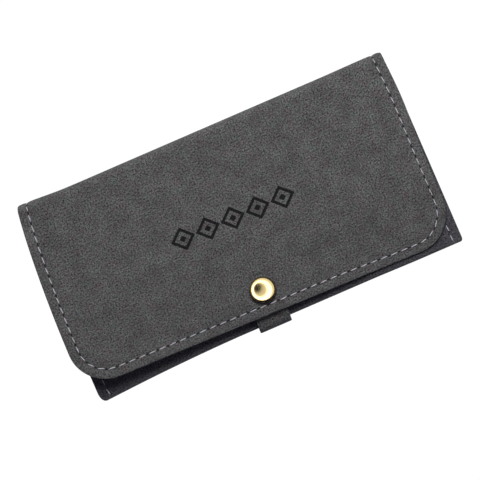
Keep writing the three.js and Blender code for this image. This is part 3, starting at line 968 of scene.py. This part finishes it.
def lining_point(across, along):
    """As the suede's, but with the bag's own bottom fold."""
    depth = SUEDE + GLUE
    points = body_point(across, along, depth)
    stretch, share = stretch_of(along)
    radius = thickness(across, BAG_LOW) / 2
    inner = radius - depth
    turn = np.radians(-90 - 180 * share)
    y = np.select([stretch == 2, stretch == 3, stretch == 4], [
        lerp(TOP - fold_at(across)[1], BAG_LOW + radius, share),
        BAG_LOW + radius + inner * np.cos(turn),
        lerp(BAG_LOW + radius, MOUTH, share),
    ])
    z = np.select([stretch == 2, stretch == 3, stretch == 4], [
        depth + 0 * share,
        radius + inner * np.sin(turn),
        thickness(across, y) - depth,
    ])
    x, y = settle_body(across, y)
    bag = np.stack([x, y, z], axis=-1)
    return np.where((stretch >= 2)[:, None], bag, points)


def lay_body_lining(across, along):
    return lining_point(across, along), np.stack([across, along], -1), unsewn(along)


lining_columns = columns_of(94.6, 84, 1.5, 3)
lining_rows = spaced(
    (0, BACK_FROM, 0.8), (BACK_FROM, BACK_TO, 2.5),
    (BACK_TO, FRONT_FROM, 0.6), (FRONT_FROM, MOUTH_AT, 2.5))
bag_lining = sheet_of_cloth(
    "bag_lining", lining_columns, lining_rows, lay_body_lining, LINING, lining, 0.15)

# %% [markdown]
# ## The flap
#
# The flap is the other end of the strip. The grid's rows run from the lower edge up to the top
# fold, so that its faces point outwards. The corners could be cut off with a boolean, but then
# the faces would be ragged there, so each row near them is made shorter instead.

# %% Flap suede
flap_columns = columns_of(HALF_WIDTH, 84, 0.7, 0.95)
corner_turns = np.radians(np.linspace(79, 0, 18))
flap_rows = np.concatenate([
    [FLAP_END],
    FLAP_END - RIGHT_CORNER + RIGHT_CORNER * np.sin(corner_turns),
    spaced((FLAP_END - RIGHT_CORNER - 0.8, SPINE + BEND, 0.95), (SPINE + BEND, 0, 0.6)),
])


def rounded(across, along):
    """Draws the ends of the lowest rows in, to the rounded corners."""
    corner = corner_of(across)
    into = np.clip((along - FLAP_END + corner) / corner, 0, 1)
    inset = corner * quarter_round(into)
    return across * (HALF_WIDTH - inset) / HALF_WIDTH


def lay_flap(across, along):
    across = rounded(across, along)
    path, from_edge = flap_edge(across, along)
    dent = stitch_dent(path, from_edge, HEM_PITCH) + soft_dents(across, along)
    points = flap_point(across, along, dent)
    return points, np.stack([across, -along], -1), np.stack([path / HEM_PITCH, from_edge], -1)


flap_suede = sheet_of_cloth(
    "flap_suede", flap_columns, flap_rows, lay_flap, SUEDE, stamped_suede)

# %% [markdown]
# The flap's lining lies under its suede and takes on its dents. It has fewer rows, because only
# the opened flap shows it.

# %% Flap lining


def lay_flap_lining(across, along):
    across = rounded(across, along)
    _, from_edge = flap_edge(across, along)
    dent = SUEDE + GLUE + soft_dents(across, along) + stitch_groove(from_edge)
    points = flap_point(across, along, dent)
    return points, np.stack([across, -along], -1), unsewn(along)


flap_lining_columns = columns_of(94.7, 84, 1.2, 2.5)
flap_lining_rows = np.concatenate([
    [FLAP_END - 0.25],
    FLAP_END - RIGHT_CORNER + RIGHT_CORNER * np.sin(corner_turns[1::2]),
    spaced((FLAP_END - RIGHT_CORNER - 2, SPINE + BEND, 2), (SPINE + BEND, 0, 0.7)),
])
lid_lining = sheet_of_cloth("lid_lining", flap_lining_columns, flap_lining_rows,
                            lay_flap_lining, LINING, lining, 0.15)

# %% [markdown]
# ## The strap
#
# The strap is a double layer 16 mm wide. It comes out of a slit in the bottom fold, turns up
# over the front and rises to the press stud under the flap. It is folded from a flat strip in
# the same way as the body, so that its length can be measured along it.

# %% Stretches of the strap
STRAP_WIDTH = 16
STRAP_LEAN = 0.9
STRAP_PROUD = 2.35
STRAP_PAST_SNAP = 9
STRAP_CORNER = 6
STRAP_LEVEL = 7.95
STRAP_EDGE_DROP = 0.18
STRAP_EDGE_WIDTH = 1.0
ROOT_LEVEL = 1.5
ROOT_TUCK = BAG_INSET - 0.3
EXIT_RADIUS = 2.1
STRAP_BEND = 2.8
STRAP_BEND_LEVEL = 4.0
STUD_BASE = 4.9
STRAP_OUTER = BOTTOM - STRAP_PROUD
STRAP_RUN = SNAP.y + STRAP_PAST_SNAP - STRAP_OUTER - STRAP_BEND
STRAP_STOPS = np.cumsum([
    0, ROOT_TUCK + STRAP_PROUD - EXIT_RADIUS, EXIT_RADIUS * math.pi / 2,
    STRAP_BEND_LEVEL - ROOT_LEVEL - EXIT_RADIUS, STRAP_BEND * math.pi / 2, STRAP_RUN])
print("strap, mm:", round(STRAP_STOPS[-1], 1))

# %% Strap


def strap_point(across, along, depth=0.0):
    """Where a point of the strap lies, in millimetres, at a depth below its outer face."""
    stretch, share = stretch_of(along, STRAP_STOPS)
    first = np.radians(-90 - 90 * share)
    second = np.radians(180 - 90 * share)
    start = BOTTOM + ROOT_TUCK
    exit_end = STRAP_OUTER + EXIT_RADIUS
    front_start = STRAP_OUTER + STRAP_BEND
    front = front_start + STRAP_RUN * share
    zero = np.zeros_like(share)
    here = [stretch == k for k in range(5)]
    rise = smooth(front, front_start, SNAP.y - STUD_BASE)
    y = np.select(here, [
        lerp(start, exit_end, share), exit_end + EXIT_RADIUS * np.cos(first),
        STRAP_OUTER + zero, front_start + STRAP_BEND * np.cos(second), front])
    z = np.select(here, [
        ROOT_LEVEL + zero, ROOT_LEVEL + EXIT_RADIUS + EXIT_RADIUS * np.sin(first),
        lerp(ROOT_LEVEL + EXIT_RADIUS, STRAP_BEND_LEVEL, share),
        STRAP_BEND_LEVEL + STRAP_BEND * np.sin(second),
        lerp(STRAP_BEND_LEVEL + STRAP_BEND, STRAP_LEVEL, rise)])
    in_y = np.select(here, [zero, -np.cos(first), zero + 1, -np.cos(second), zero])
    in_z = np.select(here, [zero + 1, -np.sin(first), zero, -np.sin(second), zero - 1])
    y = y + in_y * depth
    centre = SNAP.x + STRAP_LEAN * (y - SNAP.y) / (SNAP.y - BOTTOM)
    return np.stack([centre + across, y, z + in_z * depth], axis=-1)


def lay_strap(depth, width):
    def place(across, along):
        into = np.clip((along - STRAP_STOPS[-1] + STRAP_CORNER) / STRAP_CORNER, 0, 1)
        inset = STRAP_CORNER * quarter_round(into)
        side = width / 2
        across = across * (side - inset) / side
        from_edge = (side - np.abs(across)) / STRAP_EDGE_WIDTH
        edge = STRAP_EDGE_DROP * np.clip(1 - from_edge, 0, 1) ** 2
        points = strap_point(across, along, depth + edge)
        return points, np.stack([across, along], -1), unsewn(along)
    return place


strap_turns = np.radians(np.linspace(8, 76, 10))
strap_rows = np.concatenate([
    spaced((0, STRAP_STOPS[1], 0.8), (STRAP_STOPS[1], STRAP_STOPS[2], 0.4),
           (STRAP_STOPS[2], STRAP_STOPS[3], 0.3), (STRAP_STOPS[3], STRAP_STOPS[4], 0.4),
           (STRAP_STOPS[4], STRAP_STOPS[5] - STRAP_CORNER, 0.6)),
    STRAP_STOPS[5] - STRAP_CORNER + STRAP_CORNER * np.sin(strap_turns),
    [STRAP_STOPS[5]],
])
strap_suede = sheet_of_cloth("strap_suede", spaced((8, -8, 0.5)), strap_rows,
                             lay_strap(0.0, STRAP_WIDTH), SUEDE, strap_finish, 0.15)
strap_back = sheet_of_cloth("strap_back", spaced((7.9, -7.9, 0.8)), strap_rows,
                            lay_strap(SUEDE + GLUE, STRAP_WIDTH - 0.2), LINING, lining, 0.1)

# %% [markdown]
# ## Stitches
#
# The thread is a waxed grey one, about half a millimetre thick, and each stitch shows as 3.4 mm
# of it. A curve could run through all the layers, but only the visible stitches matter. Each is
# a small ball drawn out along the line and laid in its groove, a little slanted, with only a
# few dozen faces.

# %% Thread
STITCH_LENGTH = 3.4
STITCH_THICK = 0.52
STITCH_STAND = 0.22
SLANT = math.radians(5)
PLY = 0.8
THREAD_GREY = 0xB8B4BA

thread, tree = new_material("waxed grey thread")
spot = add_node(tree, "TexCoord").outputs["Object"]
ply = add_node(tree, "TexNoise", {"Vector": spot, "Scale": 1 / (PLY * MM)})
tone = add_node(tree, "MapRange", {"Value": ply, "To Min": 0.75, "To Max": 1.25})
shade = add_node(tree, "HueSaturation", {"Color": linear(THREAD_GREY), "Value": tone})
fibre = add_node(tree, "BsdfPrincipled", {
    "Base Color": shade, "Roughness": 0.6, "Sheen Weight": 0.2})
add_node(tree, "OutputMaterial", {"Surface": fibre})
print("stitch, mm:", STITCH_LENGTH, "long and", STITCH_THICK, "thick")

# %% Lay a stitch


def hem_place(path):
    """Across and along for a distance on the flap's stitch line."""
    left = path <= HEM_LENGTH - half_hem(RIGHT_CORNER)
    side, corner = (-1, LEFT_CORNER) if left else (1, RIGHT_CORNER)
    path = path if left else HEM_LENGTH - path
    straight = FLAP_END - corner
    radius = corner - STITCH_INSET
    arc = radius * math.pi / 2
    if path < straight:
        return side * (HALF_WIDTH - STITCH_INSET), path
    if path < straight + arc:
        turn = (path - straight) / radius
        across = HALF_WIDTH - corner + radius * math.cos(turn)
        return side * across, straight + radius * math.sin(turn)
    return side * (HALF_WIDTH - corner - (path - straight - arc)), FLAP_END - STITCH_INSET


def add_stitch(bm, before, after, outward):
    """One stitch between two points, pressed a little into the cloth."""
    run = after - before
    middle = (before + after) / 2 + outward * STITCH_THICK * STITCH_STAND
    forward = run.normalized()
    sideways = outward.cross(forward).normalized()
    up = forward.cross(sideways)
    turn = Matrix((forward, sideways, up)).transposed().to_4x4()
    size = Matrix.Diagonal((run.length / 2, STITCH_THICK / 2, STITCH_THICK / 2, 1))
    place = Matrix.Translation(middle) @ turn @ Matrix.Rotation(SLANT, 4, "Z") @ size
    lie = place @ Matrix.Rotation(math.pi / 2, 4, "Y")
    bmesh.ops.create_uvsphere(bm, u_segments=8, v_segments=6, radius=1, matrix=lie)


def sewn_line(bm, surface, places, count, pitch, depth, inside):
    """Stitches along a line. surface gives points, and places(path) gives across and along."""
    for k in range(count):
        middle = (k + 0.5) * pitch
        ends = np.array([places(middle - STITCH_LENGTH / 2), places(middle),
                         places(middle + STITCH_LENGTH / 2)], float)
        deep = surface(ends[:, 0], ends[:, 1], depth)
        under = surface(ends[:, 0], ends[:, 1], depth + 1)
        a, _, b = [Vector(p) for p in deep]
        outward = (Vector(deep[1]) - Vector(under[1])).normalized()
        add_stitch(bm, a, b, -outward if inside else outward)


print("stitches along the hem:", HEM_STITCHES)

# %% [markdown]
# The flap is sewn through suede and lining, so each of its stitches shows on both faces. The
# thread follows every dent of the cloth, or it would float above it.

# %% Stitches along the flap's hem
HEM_SET = 0.2
FOLD_SET = 0.15


def dented_flap(across, along, depth):
    """The stitches near the top fold are drawn deeper into the nap."""
    sunk = FOLD_SET * (1 - smooth(along, 10, 26))
    return flap_point(across, along, depth + sunk + soft_dents(across, along))


bm = bmesh.new()
sewn_line(bm, dented_flap, hem_place, HEM_STITCHES, HEM_PITCH, HEM_SET, False)
sewn_line(bm, dented_flap, hem_place, HEM_STITCHES, HEM_PITCH, WALL + HEM_SET, True)
flap_stitches = finish_piece("flap_stitches", bm, thread)

# %% [markdown]
# The side seams close the pocket. Their thread goes from the back to the front, so the front's
# stitches lie level with those of the back.

# %% Stitches down the side seams
BACK_SET = 0.42
FRONT_SET = 0.4
FIRST_ON_FRONT = 2
SIDE_STITCHES = int((BACK_TO - 1) / STITCH_PITCH)
SEWN_FRONT = MOUTH - BOTTOM - SEAM_THICKNESS / 2


def up_the_front(path):
    """How far along the strip the front is, level with the back's stitch line at path."""
    rise = BACK_FROM + FLAP_START - path - BOTTOM - SEAM_THICKNESS / 2
    return FRONT_FROM + rise * FRONT / SEWN_FRONT


bm = bmesh.new()
for side in (-1, 1):
    line = side * (HALF_WIDTH - STITCH_INSET)
    sewn_line(bm, body_point, lambda path: (line, path), SIDE_STITCHES, STITCH_PITCH, BACK_SET, False)
    for k in range(FIRST_ON_FRONT, SIDE_STITCHES + 1):
        middle = (k + 0.5) * STITCH_PITCH
        ends = np.array([up_the_front(middle - STITCH_LENGTH / 2),
                         up_the_front(middle + STITCH_LENGTH / 2)])
        if ends[0] > MOUTH_AT - 1:
            continue
        a, b = [Vector(p) for p in body_point(np.array([line, line]), ends, FRONT_SET)]
        add_stitch(bm, a, b, Vector((0, 0, 1)))
body_stitches = finish_piece("body_stitches", bm, thread)

# %% [markdown]
# ## Finish: brass and steel
#
# The press stud is polished brass, and its spring ring is drawn steel wire. Polish leaves faint
# smears a few millimetres wide, and the drawing leaves a fine grain, so each roughness varies a
# little. One even value would be simpler, but metal that is handled is never so perfect.

# %% Brass and steel
BRASS = 0xE2CB92
SMEAR = 2.5
STEEL = 0x9A9A9C
WIRE_GRAIN = 0.2

brass, tree = new_material("polished brass")
spot = add_node(tree, "TexCoord").outputs["Object"]
smear = add_node(tree, "TexNoise", {"Vector": spot, "Scale": 1 / (SMEAR * MM), "Detail": 2.0})
rough = add_node(tree, "MapRange", {"Value": smear, "To Min": 0.08, "To Max": 0.19})
metal = add_node(tree, "BsdfPrincipled", {
    "Base Color": linear(BRASS), "Metallic": 1.0, "Roughness": rough})
add_node(tree, "OutputMaterial", {"Surface": metal})

steel, tree = new_material("drawn spring steel")
spot = add_node(tree, "TexCoord").outputs["Object"]
draw = add_node(tree, "TexNoise", {"Vector": spot, "Scale": 1 / (WIRE_GRAIN * MM)})
rough = add_node(tree, "MapRange", {"Value": draw, "To Min": 0.25, "To Max": 0.45})
metal = add_node(tree, "BsdfPrincipled", {
    "Base Color": linear(STEEL), "Metallic": 1.0, "Roughness": rough})
add_node(tree, "OutputMaterial", {"Surface": metal})
print("metals:", brass.name, "and", steel.name)

# %% [markdown]
# ## Press stud
#
# Each of its brass parts is turned, so each is a profile spun round the stud's axis, where a
# cylinder primitive would need its steps cut in afterwards. The cap is a shallow dome with a
# hollow post, the socket sits under the flap, and the stud and its eyelet are riveted through
# the strap.

# %% Turned parts
TURNED_STEPS = 72
WELD = 0.0005
BROKEN_EDGE = 0.06
SHARP = math.radians(40)


def turned(name, outline, level):
    """Spins an outline of (radius, height) in millimetres round the stud's axis."""
    bm = bmesh.new()
    verts = [bm.verts.new((radius, 0, height)) for radius, height in outline]
    closed = outline[0][0] > 0
    pairs = list(zip(verts, verts[1:])) + ([(verts[-1], verts[0])] if closed else [])
    edges = [bm.edges.new(pair) for pair in pairs]
    bmesh.ops.spin(bm, geom=verts + edges, cent=(0, 0, 0), axis=(0, 0, 1), dvec=(0, 0, 0),
                   angle=2 * math.pi, steps=TURNED_STEPS, use_merge=True, use_duplicate=False)
    bmesh.ops.remove_doubles(bm, verts=bm.verts, dist=WELD)
    bmesh.ops.recalc_face_normals(bm, faces=bm.faces)
    sharp = [e for e in bm.edges if len(e.link_faces) == 2 and e.calc_face_angle() > SHARP]
    bmesh.ops.bevel(bm, geom=sharp, offset=BROKEN_EDGE, segments=2, profile=0.5,
                    affect="EDGES", material=-1, clamp_overlap=True)
    bmesh.ops.translate(bm, vec=(SNAP.x, SNAP.y, level), verts=bm.verts)
    return finish_piece(name, bm, brass)


print("sharp edges are broken by, mm:", BROKEN_EDGE)

# %% [markdown]
# The cap is the part that shows. Its dome is low, so most of it mirrors the softbox and only its
# steep rim mirrors the dark room. Its post goes through the flap and holds the socket.

# %% Cap
CAP_RADIUS = 6.25
CAP_RIM = 0.25
CAP_RISE = 1.95
CAP_LEVEL = 13.35
dome = [
    (CAP_RADIUS * math.cos(turn), CAP_RIM + CAP_RISE * math.sin(turn))
    for turn in np.radians(np.linspace(0, 90, 25))
]
post = [(0, 0.05), (1.1, 0.05), (1.1, -2.7), (2.0, -2.7), (2.3, -2.45), (2.3, -2.2), (1.6, -2.2),
        (1.6, 0)]
press_cap = turned("press_cap", [*post, (CAP_RADIUS - 0.2, 0), *dome], CAP_LEVEL)

# %% [markdown]
# The socket has a groove inside for the spring ring, which grips below the head of the stud. The
# eyelet's tube goes up through the strap and holds the stud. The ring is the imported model's own
# piece, which only needs its steel.

# %% Socket, stud and eyelet
SOCKET_LEVEL = 8.75
STUD_LEVEL = 8.15
EYELET_LEVEL = 5.75
socket_outline = [
    (2.75, 0), (4.8, 0), (5.2, 0.4), (5.2, 2.2), (4.8, 2.6), (1.7, 2.6), (1.7, 2.2),
    (2.75, 2.2), (2.75, 0.87), (3.32, 0.87), (3.32, 0.23), (2.75, 0.23)]
press_socket = turned("press_socket", socket_outline, SOCKET_LEVEL)

stud_outline = [
    (1.6, 0), (STUD_BASE, 0), (STUD_BASE, 0.4), (2.35, 0.4), (2.1, 1.15), (2.35, 1.59),
    (2.1, 2.0), (1.6, 2.0)]
press_stud = turned("press_stud", stud_outline, STUD_LEVEL)

eyelet_outline = [
    (0, 0), (4.5, 0), (4.5, 0.4), (1.5, 0.4), (1.5, 3.4), (1.0, 3.4), (1.0, 0.4), (0, 0.4)]
press_eyelet = turned("press_eyelet", eyelet_outline, EYELET_LEVEL)

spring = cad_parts["snap_spring"]
spring.data.materials.clear()
spring.data.materials.append(steel)

# %% [markdown]
# ## What carries each piece
#
# Metal rides on the body that it is riveted to. The cloth's placement is baked into its
# meshes, and the imported model's own pieces are hidden.

# %% Ride and replace
for piece in (body_suede, bag_lining, body_stitches):
    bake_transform(piece)
for piece in (flap_suede, lid_lining, flap_stitches):
    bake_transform(piece)
for piece in (strap_suede, strap_back):
    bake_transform(piece)
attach(press_cap, "flap")
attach(press_socket, "flap")
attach(press_stud, "strap")
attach(press_eyelet, "strap")

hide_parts("body_shell", "top_fold_shell")
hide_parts("body_lining", "top_fold_lining")
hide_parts("flap_shell")
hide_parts("flap_lining")
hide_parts("strap_root", "strap_shell")
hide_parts("strap_lining")
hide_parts("snap_cap")
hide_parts("snap_socket")
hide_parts("snap_stud")
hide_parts("snap_eyelet")

# %% [markdown]
# ## Cloth as it was cut
#
# Each sheet's flat size is what a maker would cut, before it is folded.

# %% Flat sizes
print("the whole strip of suede, mm:", round(BODY_STOPS[-1] + FLAP_END, 1))

# %% Colour view
bpy.context.scene.view_settings.view_transform = "Standard"
